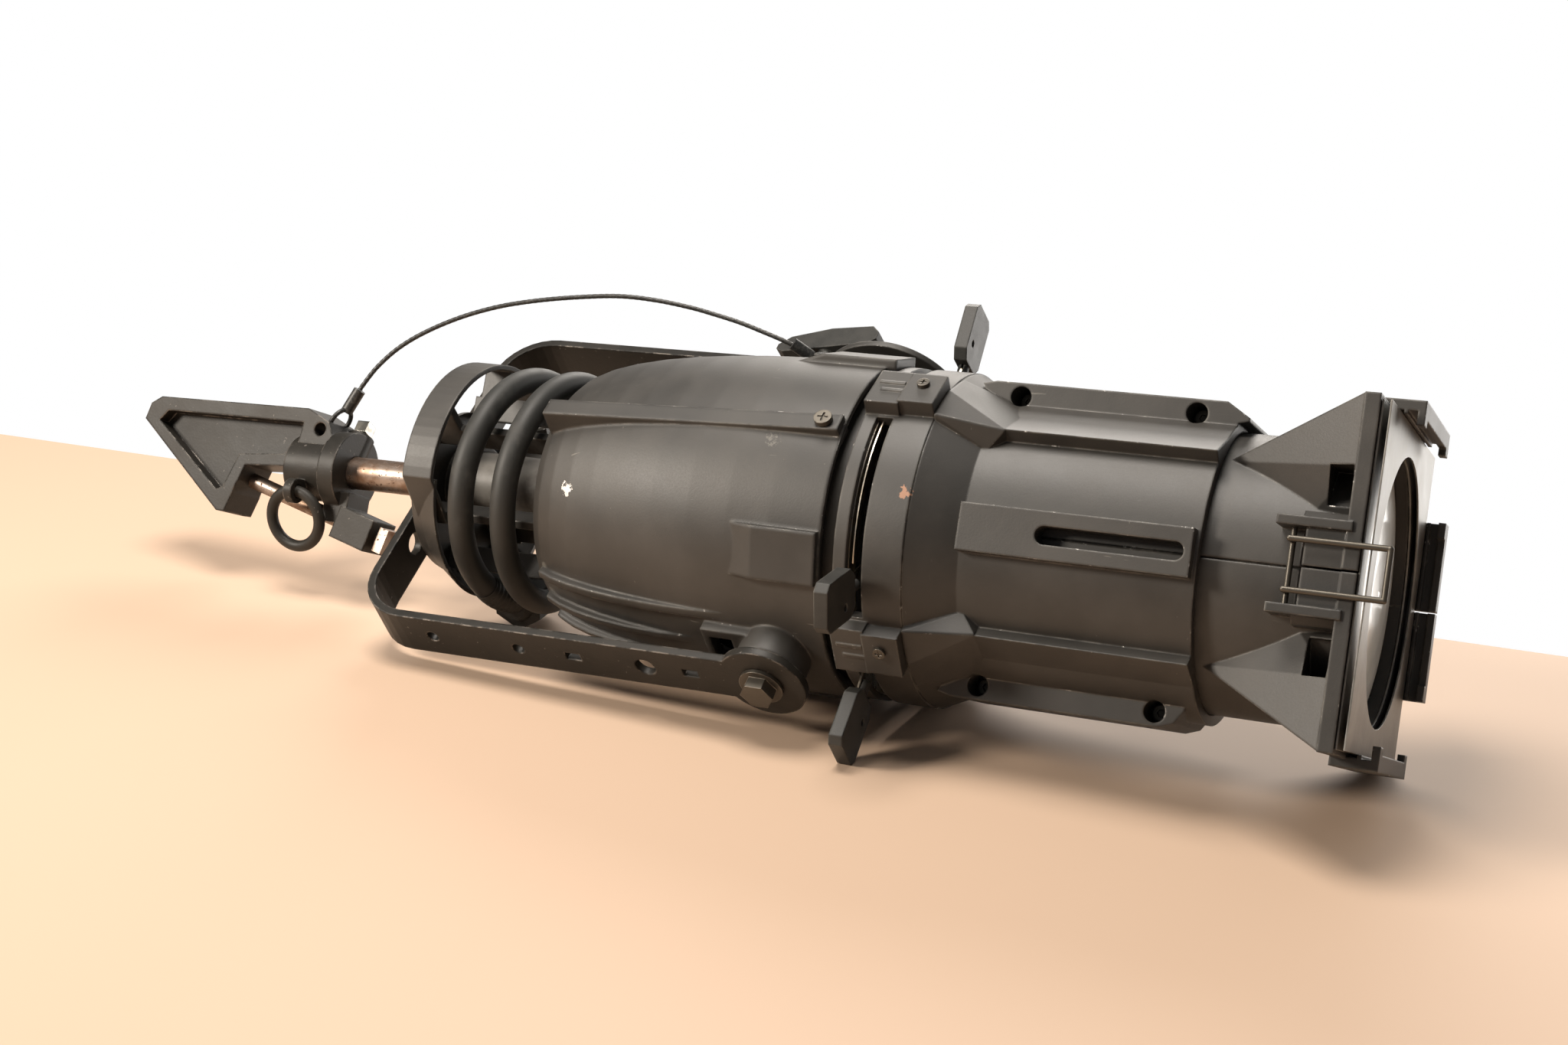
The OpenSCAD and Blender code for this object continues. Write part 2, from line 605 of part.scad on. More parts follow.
module lens_tube_whole() {
  difference() {
    union() {
      tube_x_(tube_x, plate_x + 1, tube_r, tube_in);
      translate([plate_x, -holder_h, -holder_h]) cube([holder_t, 2 * holder_h, 2 * holder_h]);
      for (sy = [1, -1], sz = [1, -1]) gusset(sy, sz);
      // latch boss on the open side
      translate([plate_x - 23, 0, 0]) rotate([90, 0, 90]) linear_extrude(holder_t + 23)
        polygon([[-30, tube_in - 6], [-29, latch_h - 9], [-latch_w - 4, latch_h - 2],
          [latch_w + 4, latch_h - 2], [29, latch_h - 9], [30, tube_in - 6]]);
      // cheeks that hold the latch's hinge
      for (s = [1, -1]) translate([hinge_x - 8, s > 0 ? latch_w + 1 : -latch_w - 6, 70])
        cube([38, 5, latch_h + 1.5 - 70]);
      for (a = [0, 180, 270]) around(a) bracket();
    }
    tube_x_(tube_x - 1, plate_x + 0.5, tube_in, 0);
    tube_x_(plate_x - 1, holder_x + 1, opening_r, 0);
    // hinge slot of the latch, across the boss
    translate([hinge_x - 5, -latch_w - 1, tube_r + 0.5]) cube([12, 2 * latch_w + 2, 30]);
    translate([hinge_x, 0, hinge_z]) rotate([90, 0, 0])
      cylinder(r = wire_r + run_fit, h = 2 * latch_w + 20, center = true);
    // windows beside the boss
    difference() {
      for (s = [1, -1]) translate([plate_x - 14, s > 0 ? 34 : -54, 40]) cube([13, 20, 60]);
      tube_x_(plate_x - 20, plate_x, tube_r + 0.2, 0);
    }
    // open seam between the two halves
    for (s = [1, -1]) translate([tube_x - 1, -0.6, s > 0 ? tube_r - 0.9 : -tube_r + 0.9 - 40])
      cube([holder_x + 40 - tube_x, 1.2, 40]);
    // bore of the focus stud, on the far side
    translate([stud_x, 0, -tube_r - 5]) cylinder(r = 3, h = 20);
  }
}

module lens_tube_left() {
  color(black_paint) lie() intersection() {
    lens_tube_whole();
    translate([0, 0, -150]) cube([400, 150, 300]);
  }
}
module lens_tube_right() {
  color(black_paint) lie() intersection() {
    lens_tube_whole();
    translate([0, -150, -150]) cube([400, 150, 300]);
  }
}

// Plano-convex lens, flat side at x, crown towards dir
module lens(x, dir) {
  steps = [for (i = [0 : 6]) i / 6];
  r = tube_in - 0.05;
  turned(concat([[0, x], [r, x], [r, x + dir * lens_rim]],
    [for (t = steps) [r * cos(90 * t), x + dir * (lens_rim + lens_crown * sin(90 * t))]]));
}
front_lens_x = plate_x - 6;
rear_lens_x = tube_x + 60;
module front_lens() { color([0.85, 0.9, 0.88, 0.4]) lie() lens(front_lens_x, 1); }
module rear_lens() { color([0.85, 0.9, 0.88, 0.4]) lie() lens(rear_lens_x, -1); }

module lens_rings() {
  r = tube_in - 0.05;
  color(grip_black) lie() for (x = [front_lens_x - 3, rear_lens_x]) tube_x_(x, x + 3, r, r - 3);
}

module focus_knob() {
  color(grip_black) lie() translate([stud_x, 0, 0]) rotate([180, 0, 0]) {
    translate([0, 0, pad_h + slide_fit]) cylinder(r = 11, h = 12);
    translate([0, 0, tube_in]) cylinder(r = 2.9, h = pad_h + 2 - tube_in);
  }
}

// Wire bail: two arms, a front bar, and two ends turned in to the hinge
latch_y = 13;
module latch_wire() {
  reach = holder_x + bracket_l - hinge_x - 2;
  color("silver") lie() translate([hinge_x, 0, hinge_z]) {
    rotate([90, 0, 0]) cylinder(r = wire_r, h = 2 * latch_w + 10, center = true);
    for (s = [1, -1]) {
      translate([0, s * latch_y, 0]) cylinder(r = wire_r, h = latch_h + 2.2 - hinge_z);
      translate([0, s * latch_y, latch_h + 2.2 - hinge_z]) {
        sphere(r = wire_r);
        along_x() cylinder(r = wire_r, h = reach);
        translate([reach, 0, 0]) sphere(r = wire_r);
      }
    }
    translate([reach, -latch_y, latch_h + 2.2 - hinge_z]) rotate([-90, 0, 0])
      cylinder(r = wire_r, h = 2 * latch_y);
  }
}

module accessory_frame() {
  h = holder_h - 2.6;
  color([0.5, 0.5, 0.5]) lie() difference() {
    union() {
      for (x = [0.4, 4.6]) translate([holder_x + x, -h, -h]) cube([0.9, 2 * h, 2 * h]);
      translate([holder_x + 0.4, -h, -h]) cube([5.1, 2 * h, 0.9]);
    }
    tube_x_(holder_x - 1, holder_x + 8, opening_r - 1, 0);
  }
}

// ---- yoke and tilt lock ----
function arc(c, r, a0, a1, n) =
  [for (i = [0 : n]) c + r * [cos(a0 + (a1 - a0) * i / n), sin(a0 + (a1 - a0) * i / n)]];
function bow(half, back, bend) = concat([[0, half]],
  arc([-back + bend, half - bend], bend, 90, 180, 8),
  arc([-back + bend, -half + bend], bend, 180, 270, 8), [[0, -half]]);
yoke_holes = [[-218, 4, 4], [-158.5, 4, 4], [-121.5, 5, 3], [-74, 6.5, 6.5], [-45, 5, 3]];
tee_b = 6;
tee_turn = 12;                            // turn of the T-handle as it lies

module yoke() {
  outer = bow(yoke_half, yoke_len, yoke_bend);
  inner = bow(yoke_half - yoke_t, yoke_len - yoke_t, yoke_bend - yoke_t);
  color(black_paint) yoke_frame() difference() {
    union() {
      translate([0, 0, -yoke_w / 2]) linear_extrude(yoke_w) polygon(concat(outer,
        [for (i = [len(inner) - 1 : -1 : 0]) inner[i]]));
      for (s = [1, -1]) out_y(s) translate([0, 0, yoke_half - yoke_t])
        cylinder(r = yoke_end_r, h = yoke_t);
    }
    rotate([90, 0, 0]) cylinder(r = pivot_r + run_fit, h = 400, center = true);
    translate([-tee_back, 100, tee_b]) rotate([-90, 0, 0])
      cylinder(r = 5 + run_fit, h = 60);
    for (h = yoke_holes) if (h[1] == h[2]) translate([h[0], -100, 0]) rotate([90, 0, 0])
      cylinder(r = h[1], h = 60);
    for (h = yoke_holes) if (h[1] != h[2]) translate([h[0], -120, 0])
      cube([2 * h[1], 40, 2 * h[2]], center = true);
    for (y = [-52, 52]) translate([-yoke_len - 1, y, 0]) along_x() cylinder(r = 7, h = 8);
    translate([-yoke_len - 1, 0, 0]) along_x() cylinder(r = 6, h = 8);
  }
}

shoe_in = boss_reach - 2.6;
shoe_out = yoke_half - yoke_t;
module clamp_shoe() {
  color(grip_black) yoke_frame() difference() {
    translate([-tee_back - 12, shoe_in, tee_b - 12])
      cube([tee_back - lock_r + 18, shoe_out - shoe_in, 24]);
    out_y(1) translate([0, 0, boss_reach - slide_fit])
      cylinder(r = lock_r + 0.5, h = 4 + 2 * slide_fit);
    translate([-tee_back, boss_reach + 4.5, tee_b]) rotate([-90, 0, 0])
      cylinder(r = 5 + run_fit, h = 60);
  }
}

module tee_handle() {
  color(grip_black) yoke_frame() translate([-tee_back, 0, tee_b]) {
    translate([0, boss_reach + 5, 0]) rotate([-90, 0, 0])
      cylinder(r = 5, h = yoke_half + 2 - boss_reach - 5);
    translate([0, yoke_half + 0.3, 0]) rotate([-90, 0, 0]) cylinder(r = 7, h = 14);
    translate([0, yoke_half + 13, 0]) rotate([0, -tee_turn, 0]) translate([2, 0, 0])
      linear_extrude(18, center = true) polygon([[-tee_len / 2, 3], [-tee_len / 2 + 5, 0],
        [tee_len / 2 - 5, 0], [tee_len / 2, 3], [tee_len / 2, 9], [tee_len / 2 - 6, 15],
        [0, 17], [-tee_len / 2 + 8, 13], [-tee_len / 2, 7]]);
  }
}

module spigot() {
  color(bare_steel) yoke_frame() {
    translate([hub_back - hub_len - 1, 0, 0]) along_x()
      cylinder(r = spigot_r, h = -yoke_len - hub_back + hub_len + 1);
    translate([-yoke_len - 1, 0, 0]) along_x() cylinder(r = 6, h = yoke_t + 1);
  }
}

module spigot_nut() {
  color(zinc) yoke_frame() translate([-yoke_len + yoke_t, 0, 0]) along_x()
    cylinder(r = 10, h = 2.4, $fn = 6);
}

// ---- hook clamp ----
// The hook is drawn in the clamp's X-Y plane with its hub on the axis
pipe_c = [hub_back - 58.5, -25.5];
hook_out = [for (p = [[-2, 10], [-13, 30], [-30, 37.5], [-150, 36], [-158, 31], [-161, 20],
  [-90, -36], [-84, -36], [-73, -4], [-42, -2], [-30, -8], [-2, -8]]) [hub_back + p[0], p[1]]];
hook_web = [for (p = [[-32, 28], [-143, 27], [-149, 20], [-93, -22], [-88, -20], [-79, 3],
  [-44, 6], [-34, 14]])
  [hub_back + p[0], p[1]]];
eye_at = [hub_back - 18.5, 24.5];
eye_r = 9;
ring_eye = [hub_back - 24, -18, 24];
bolt_tip = [hub_back - 75, -12.8];
bolt_len = 112;
pan_turn = -24;
pan_x = hub_back - 4;
function bolt_at(s) = bolt_tip + s * [cos(lug_tilt), -sin(lug_tilt)];

module hook_clamp() {
  color(black_paint) clamp_frame() difference() {
    union() {
      tube_x_(hook_x, hub_back, hub_r, 0);
      tube_x_(hub_back - 8, hub_back + 4, hub_r + 5, 0);
      // web with a raised border
      linear_extrude(12, center = true) polygon(hook_out);
      linear_extrude(hook_w, center = true) difference() {
        polygon(hook_out);
        polygon(hook_web);
      }
      // lug of the pipe bolt and its root
      translate([bolt_at(95)[0], bolt_at(95)[1], 0]) rotate(-lug_tilt)
        cube([28, 21, hook_w - 4], center = true);
      translate([hub_back - 8, -34, -12]) cube([18, 20, 24]);
      // boss of the pan screw
      translate([pan_x, 0, 0]) around(pan_turn) rotate([-90, 0, 0])
        cylinder(r = 9, h = hub_r + 6);
      // ear of the safety ring
      translate([ring_eye[0] - 3, 0, 0]) {
        translate([0, ring_eye[1], ring_eye[2]]) along_x() cylinder(r = 8, h = 6);
        translate([0, ring_eye[1] - 2, 4]) cube([6, 10, ring_eye[2] - 4]);
      }
    }
    tube_x_(hook_x - 1.5, hub_back + 5, spigot_r + run_fit, 0);
    // pipe seat
    translate([pipe_c[0], pipe_c[1], 0]) cylinder(r = pipe_r, h = 80, center = true);
    translate([bolt_at(20)[0], bolt_at(20)[1], 0]) rotate([0, 90, -lug_tilt])
      cylinder(r = jaw_bolt_r + run_fit, h = 100);
    translate([pan_x, 0, 0]) around(pan_turn) rotate([-90, 0, 0])
      cylinder(r = 4 + run_fit, h = 60);
    translate([ring_eye[0] - 4, ring_eye[1], ring_eye[2]]) along_x()
      cylinder(r = ring_wire_r + 0.6, h = 8);
    translate([eye_at[0], eye_at[1], 0]) cylinder(r = 4.5, h = 40, center = true);
  }
}

module pan_screw() {
  color(zinc) clamp_frame() translate([pan_x, 0, 0]) around(pan_turn) rotate([-90, 0, 0]) {
    translate([0, 0, spigot_r + 0.3]) cylinder(r = 4, h = hub_r);
    translate([-4.5, -4.5, hub_r + 8.5]) cube([9, 9, 8]);
  }
}

module pipe_bolt() {
  color(bare_steel) clamp_frame() translate([bolt_tip[0], bolt_tip[1], 0])
    rotate([0, 90, -lug_tilt]) {
      cylinder(r = jaw_bolt_r, h = bolt_len + 1);
      translate([-8, -8, bolt_len]) cube([16, 16, 7]);
    }
}

module safety_ring() {
  color(black_paint) clamp_frame() translate(ring_eye)
    rotate([90 - lie_roll, 0, 0]) translate([0, -ring_r, 0])
      rotate_extrude() translate([ring_r, 0]) circle(r = ring_wire_r, $fn = 24);
}

// ---- cords ----
// Tube of n sides swept along a list of points
function unit(v) = v / norm(v);
function tangent(p, i) = unit(p[min(i + 1, len(p) - 1)] - p[max(i - 1, 0)]);
function carry(n, t) = unit(n - (n * t) * t);
function normals(p, i = 0, n = [0, 0.3, 1], out = []) = i == len(p) ? out
  : let (m = carry(n, tangent(p, i))) normals(p, i + 1, m, concat(out, [m]));
module sweep(p, r, n) {
  rs = is_list(r) ? r : [for (i = p) r];
  ns = normals(p);
  pts = [for (i = [0 : len(p) - 1], k = [0 : n - 1]) let (t = tangent(p, i), u = ns[i])
    p[i] + rs[i] * (cos(360 * k / n) * u + sin(360 * k / n) * cross(t, u))];
  m = len(p);
  polyhedron(pts, concat(
    [[for (k = [0 : n - 1]) k]],
    [for (i = [0 : m - 2], k = [0 : n - 1]) each [
      [i * n + k, (i + 1) * n + k, i * n + (k + 1) % n],
      [i * n + (k + 1) % n, (i + 1) * n + k, (i + 1) * n + (k + 1) % n]]],
    [[for (k = [n - 1 : -1 : 0]) (m - 1) * n + k]]));
}

// Power lead: out of the gland on the far side, round the neck, into the plug
gland_turn = -57;
lead_end = -177;
// [angle from +Y, x] of the lead as it winds, hand chosen
wind = [[189, -213], [135, -216], [90, -215], [45, -211], [0, -207], [-45, -203], [-90, -198],
  [-135, -191], [-180, -188], [-225, -187], [-270, -185.5], [-315, -182], [-360, -178],
  [-405, -177.6], [gland_turn - 360, lead_end]];
function mix(p, q, t) = p + (q - p) * t;
function wind_at(a) = let (i = max([for (k = [0 : len(wind) - 2]) wind[k][0] >= a ? k : 0]))
  mix(wind[i][1], wind[i + 1][1], (a - wind[i][0]) / (wind[i + 1][0] - wind[i][0]));
// Keeps the winding on the neck when the neck's length changes
function along(x) = tail_x + (x + 165) * neck_len / 68;
lead_n = 52;
lead_turns = [for (i = [0 : lead_n]) let (a = wind[0][0] + (gland_turn - 360 - wind[0][0])
  * i / lead_n) [along(wind_at(a)), wind_r * cos(a), wind_r * sin(a)]];
module power_lead() {
  // swells into the two strain reliefs at its ends
  r = [for (i = [0 : lead_n]) lead_d / 2 + 2 * max(0, 1 - i / 2, 1 - (lead_n - i) / 2)];
  color([0.1, 0.1, 0.1]) lie() sweep(lead_turns, r, 10);
}

// Rubber plug in line with the wound lead, seen nearly end on; pins away from the lead
plug_turn = 209;
plug_r = plug_af / 2 / cos(30);
module plug() {
  color([0.1, 0.1, 0.1]) lie() around(plug_turn) translate([along(wind[0][1]), wind_r + 1.78, 0]) {
    translate([0, 0, -plug_len / 2]) rotate(90) cylinder(r = plug_r, h = plug_len, $fn = 6);
    translate([0, 0, -plug_len / 2 - 6]) cylinder(r1 = 9, r2 = 12, h = 6.1);
    for (s = [-7, 0, 7]) translate([s, 0, plug_len / 2 - 0.1])
      cylinder(r = 2.4, h = 13);
  }
}

// Safety cable: from the clamp's ferrule over the housing to the T-handle's stud
ferr_u = [0.447, 0.894];
ferr_a = 63.4;
module clamp_ferrule() {
  color(black_paint) clamp_frame() {
    translate([eye_at[0] + eye_r * ferr_u[0], eye_at[1] + eye_r * ferr_u[1], 0])
      rotate([0, 0, ferr_a]) rotate([90, 0, 0])
        rotate_extrude($fn = 48) translate([eye_r, 0]) circle(r = rope_d / 2, $fn = 16);
    translate([eye_at[0] + (2 * eye_r - 1.5) * ferr_u[0],
      eye_at[1] + (2 * eye_r - 1.5) * ferr_u[1], 0])
      rotate([0, 0, ferr_a]) rotate([0, 90, 0]) cylinder(r = 4, h = 17);
  }
}
stud_loop_r = 7.3 + rope_d / 2;
module stud_ferrule() {
  color(black_paint) yoke_frame() translate([-tee_back, yoke_half + 6, tee_b]) {
    rotate([90, 0, 0]) rotate_extrude($fn = 48) translate([stud_loop_r, 0])
      circle(r = rope_d / 2, $fn = 16);
    rotate([0, 45, 0]) translate([-stud_loop_r - 15, 0, 0]) along_x()
      cylinder(r = 4, h = 14.5);
  }
}
// Points that the cable passes, in barrel axes, hand chosen
rope_route = [[-348.7, 52.2, -4.0], [-347.2, 55.2, -4.0], [-340, 68.4, -6], [-328, 82.5, -8.4],
  [-312, 95, -11.4], [-290, 107.5, -15.4], [-266, 117.5, -20], [-241, 124.5, -24.5],
  [-214, 130, -29.6], [-187, 133.8, -34.6], [-163, 134, -39], [-140, 132, -43],
  [-124, 129.5, -46], [-106, 126, -49], [-91, 122, -51.5], [-77, 118, -54], [-69, 115.2, -57]];
// Catmull-Rom curve through the points, m steps to each span
function spline(p, m) = concat([for (i = [0 : len(p) - 2], k = [0 : m - 1])
  let (a = p[max(i - 1, 0)], b = p[i], c = p[i + 1], d = p[min(i + 2, len(p) - 1)], t = k / m)
  0.5 * (2 * b + (c - a) * t + (2 * a - 5 * b + 4 * c - d) * t * t
    + (3 * b - a - 3 * c + d) * t * t * t)], [p[len(p) - 1]]);
module safety_cable() {
  color(black_paint) lie() sweep(spline(rope_route, 3), rope_d / 2, 8);
}

reflector_housing();
housing_screws();
reflector();
lamp_cap();
lamp_socket();
lamp();
centring_knob();
power_lead();
plug();
near_pivot_bolt();
far_pivot_bolt();
pivot_washers();
tilt_disc();
gate_ring();
bridge_screws();
barrel_top();
barrel_bottom();
barrel_screws();
top_shutter();
right_shutter();
left_shutter();
bottom_shutter();
top_grip();
right_grip();
left_grip();
bottom_grip();
lens_tube_left();
lens_tube_right();
front_lens();
rear_lens();
lens_rings();
focus_knob();
latch_wire();
accessory_frame();
yoke();
clamp_shoe();
tee_handle();
spigot();
spigot_nut();
hook_clamp();
pan_screw();
pipe_bolt();
safety_ring();
clamp_ferrule();
stud_ferrule();
safety_cable();
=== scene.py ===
# Theatre profile spotlight with its yoke, hook clamp, safety cable and wound lead,
# lying on its side on a table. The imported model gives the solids; this script
# gives them their finishes and makes the lead, its boots, the safety cable and
# the thin sheets that show in the shutter slots.
import math

import bpy
import numpy as np
from mathutils import Euler, Matrix, Vector
from mathutils.bvhtree import BVHTree


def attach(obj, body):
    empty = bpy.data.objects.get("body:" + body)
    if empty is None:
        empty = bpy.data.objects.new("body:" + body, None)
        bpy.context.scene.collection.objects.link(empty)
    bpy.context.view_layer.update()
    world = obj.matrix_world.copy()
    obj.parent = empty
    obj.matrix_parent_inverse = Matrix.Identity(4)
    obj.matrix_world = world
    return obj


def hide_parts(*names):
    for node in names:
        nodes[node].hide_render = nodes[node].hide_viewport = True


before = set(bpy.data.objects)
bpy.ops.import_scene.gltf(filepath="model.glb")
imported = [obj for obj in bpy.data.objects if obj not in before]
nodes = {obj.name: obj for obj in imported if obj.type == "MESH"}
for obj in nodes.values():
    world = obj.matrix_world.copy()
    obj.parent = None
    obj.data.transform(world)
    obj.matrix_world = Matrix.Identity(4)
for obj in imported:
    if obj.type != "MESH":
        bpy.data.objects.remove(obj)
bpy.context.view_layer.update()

scene = bpy.context.scene

# ---- camera ----
# The photograph was taken from the lens end, a little above the lantern,
# with a short telephoto. Aim and distance are settled by the image points.
camera_place = (0.56643, -1.17205, 0.46881)
camera_turn = (73.92, -3.0109, 24.5104)
camera_lens = 51.605
sensor_width = 36.0
shift_x = 0.0
shift_y = 0.0
camera_data = bpy.data.cameras.new("camera")
camera_data.lens = camera_lens
camera_data.sensor_width = sensor_width
camera_data.sensor_fit = "AUTO"
camera_data.shift_x = shift_x
camera_data.shift_y = shift_y
camera_data.clip_start = 0.05
camera = bpy.data.objects.new("camera", camera_data)
camera.location = camera_place
camera.rotation_euler = [math.radians(a) for a in camera_turn]
scene.collection.objects.link(camera)
scene.camera = camera
camera_aim = Euler(camera.rotation_euler).to_matrix().to_4x4()
camera_matrix = Matrix.Translation(camera_place) @ camera_aim

# image points on the photograph scaled to 1568 x 1045
W, H = 1568, 1045
L = max(W, H)
edges = {"left": 147.0, "right": 1452.0, "top": 303.0, "bottom": 781.0}
points = {
    "near_pivot_bolt": (759, 686),
    "safety_ring": (292.8, 517),
    "top_grip": (838, 597),
    "left_grip": (969, 337),
    "right_grip": (847, 708),
    "latch_wire": (1338, 569),
    "tee_handle": (831, 343),
    "housing_screws": (825, 419),
}
table_edge = ((0, 434), (1568, 657))
chips = {
    "housing_chip": (566, 489),
    "ring_chip": (904, 493),
    "housing_scuff": (773, 439),
}

# ---- the lantern's axes ----
# The lantern lies rolled on its side with its nose a little up. A point in
# millimetres along and around its own axis comes into the table's frame here.
lie_pitch = math.radians(3.0)
lie_roll = math.radians(68.5)
seat = np.array([83.2, 6.7, 101.64])


def on_table(p):
    """Rolls about x, then pitches about y, then moves to the seat; mm to metres."""
    x, y, z = np.asarray(p, float).T
    across, up = math.cos(lie_roll), math.sin(lie_roll)
    y, z = y * across - z * up, y * up + z * across
    level, rise = math.cos(lie_pitch), math.sin(lie_pitch)
    x, z = x * level - z * rise, x * rise + z * level
    return (np.stack([x, y, z], axis=1) + seat) / 1000


def loft(name, grid, smooth=True):
    """Closed skin over the rings grid[i, k], with a fan of triangles on each end."""
    m, sides = grid.shape[:2]
    i, k = np.meshgrid(np.arange(m - 1), np.arange(sides), indexing="ij")
    k1 = (k + 1) % sides
    quads = np.stack([i * sides + k, i * sides + k1, (i + 1) * sides + k1, (i + 1) * sides + k], axis=-1)
    verts = np.vstack([grid.reshape(-1, 3), grid[:1].mean(1), grid[-1:].mean(1)])
    faces = quads.reshape(-1, 4).tolist()
    n = m * sides
    faces += [[n, (j + 1) % sides, j] for j in range(sides)]
    faces += [[n + 1, n - sides + j, n - sides + (j + 1) % sides] for j in range(sides)]
    mesh = bpy.data.meshes.new(name)
    mesh.from_pydata(verts.tolist(), [], faces)
    mesh.polygons.foreach_set("use_smooth", np.full(len(faces), smooth))
    obj = bpy.data.objects.new(name, mesh)
    scene.collection.objects.link(obj)
    return obj


def sweep(name, path, radius, sides, lobes=0, depth=0.0, twist=0.0):
    """Tube along a path: ring i is path[i] + r(i, a) (cos a u + sin a v), where u, v
    are carried along the path without spin and r = radius (1 + depth cos(lobes (a - twist s)))."""
    path = np.asarray(path)
    radius = np.broadcast_to(np.asarray(radius, float), (len(path),))
    along = np.gradient(path, axis=0)
    along /= np.linalg.norm(along, axis=1)[:, None]
    s = np.concatenate([[0], np.cumsum(np.linalg.norm(np.diff(path, axis=0), axis=1))])
    u = np.zeros_like(path)
    first = np.cross(along[0], [0.3, 0.1, 0.9])
    u[0] = first / np.linalg.norm(first)
    for i in range(1, len(path)):
        step = u[i - 1] - along[i] * (u[i - 1] @ along[i])
        u[i] = step / np.linalg.norm(step)
    v = np.cross(along, u)
    a = np.linspace(0, 2 * math.pi, sides, endpoint=False)
    r = radius[:, None] * (1 + depth * np.cos(lobes * (a[None, :] - twist * s[:, None])))
    grid = path[:, None, :] + r[:, :, None] * (
        np.cos(a)[None, :, None] * u[:, None, :] + np.sin(a)[None, :, None] * v[:, None, :])
    m = len(path)
    obj = loft(name, grid)
    mesh = obj.data
    uv = mesh.uv_layers.new(name="along")
    turn = np.concatenate([np.tile(a / (2 * math.pi), m), [0, 0]])
    reach = np.concatenate([np.repeat(s, sides), [s[0], s[-1]]])
    corner = np.zeros(len(mesh.loops), np.int32)
    mesh.loops.foreach_get("vertex_index", corner)
    uv.data.foreach_set("uv", np.stack([turn[corner], reach[corner]], axis=1).astype(np.float32).ravel())
    return obj


# ---- power lead ----
# Round sleeved mains flex, 15.5 mm thick, wound nearly twice round the open neck
# behind the housing. It leaves a gland block on the far side and ends in its plug.
lead_diameter = 0.0155
wind_radius = 68.5
gland_turn = -57
wind = np.array([[189, -213], [135, -216], [90, -215], [45, -211], [0, -207], [-45, -203],
                 [-90, -198], [-135, -191], [-180, -188], [-225, -187], [-270, -185.5],
                 [-315, -182], [-360, -178.5], [-405, -177.6], [gland_turn - 360, -177]], float)
lead_angle = np.linspace(wind[0, 0], wind[-1, 0], 209)
lead_x = np.interp(-lead_angle, -wind[:, 0], wind[:, 1])
lead_path = on_table(np.stack([lead_x, wind_radius * np.cos(np.radians(lead_angle)),
                               wind_radius * np.sin(np.radians(lead_angle))], axis=1))[::-1]
lead = sweep("wound_lead", lead_path, lead_diameter / 2, 24)
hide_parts("power_lead")
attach(lead, "lantern")

# ---- strain relief boots ----
# Moulded rubber boots with ribs, one on the gland and one on the plug. They
# taper to the lead over 34 mm and are bonded to it.
boot_length = 0.034
boot_wall, boot_flare = 0.0004, 0.0021
boot_rib, boot_pitch = 0.0003, 0.0042
boots = []
for boot_name, boot_path in (("gland_boot", lead_path), ("plug_boot", lead_path[::-1])):
    gone = np.concatenate([[0], np.cumsum(np.linalg.norm(np.diff(boot_path, axis=0), axis=1))])
    at = np.linspace(0, boot_length, 60)
    line = np.stack([np.interp(at, gone, boot_path[:, j]) for j in range(3)], axis=1)
    taper = 1 - at / boot_length
    boots.append(sweep(boot_name, line, lead_diameter / 2 + boot_wall + boot_flare * taper
                       + boot_rib * np.sin(at / boot_pitch * 2 * math.pi), 28))
    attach(boots[-1], "lantern")

# ---- safety cable ----
# Black coated wire rope, 3 mm thick and stiff enough to arch. A crimped loop at
# each end holds it: one on the clamp's eye, one on the stud of the tilt lock.
rope_diameter = 0.003
rope_knots = np.array([[-348.7, 52.2, -4.0], [-347.2, 55.2, -4.0], [-340, 68.4, -6], [-328, 82.5, -8.4],
                       [-312, 95, -11.4], [-290, 107.5, -15.4], [-266, 117.5, -20], [-241, 124.5, -24.5],
                       [-214, 130, -29.6], [-187, 133.8, -34.6], [-163, 134, -39], [-140, 132, -43],
                       [-124, 129.5, -46], [-106, 126, -49], [-91, 122, -51.5], [-77, 118, -54],
                       [-69, 115.2, -57]], float)


def through(knots, per_span):
    """Catmull-Rom curve: on each span, 0.5 (2b + (c-a)t + (2a-5b+4c-d)t^2 + (3b-a-3c+d)t^3)."""
    a = np.vstack([knots[:1], knots[:-2]])
    b, c = knots[:-1], knots[1:]
    d = np.vstack([knots[2:], knots[-1:]])
    t = (np.arange(per_span) / per_span)[None, :, None]
    a, b, c, d = (q[:, None, :] for q in (a, b, c, d))
    curve = 0.5 * (2 * b + (c - a) * t + (2 * a - 5 * b + 4 * c - d) * t ** 2
                   + (3 * b - a - 3 * c + d) * t ** 3)
    return np.vstack([curve.reshape(-1, 3), knots[-1:]])


rope_path = on_table(through(rope_knots, 24))
rope = sweep("safety_rope", rope_path, rope_diameter / 2 * 0.95, 24, lobes=6, depth=0.06, twist=260.0)
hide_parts("safety_cable")
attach(rope, "yoke")

# ---- gate sheets ----
# Thin bright sheets of the gate show in the shutter slots of the gate ring, a
# pair in the slot that faces the camera. Their ends are let into the ring.
sheet_inner, sheet_outer, sheet_thick = 84.0, 93.6, 0.7


def sheet_sector(name, x, start, stop):
    """Flat ring sector: (x or x + thickness, r cos a, r sin a) with r on the two rims."""
    a = np.radians(np.linspace(start, stop, 33))
    front = x + sheet_thick
    rims = [(x, sheet_inner), (x, sheet_outer), (front, sheet_outer), (front, sheet_inner)]
    grid = np.stack([np.stack([np.full_like(a, px), r * np.cos(a), r * np.sin(a)], axis=1)
                     for px, r in rims], axis=1)
    obj = loft(name, on_table(grid.reshape(-1, 3)).reshape(grid.shape), smooth=False)
    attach(obj, "barrel")
    return obj


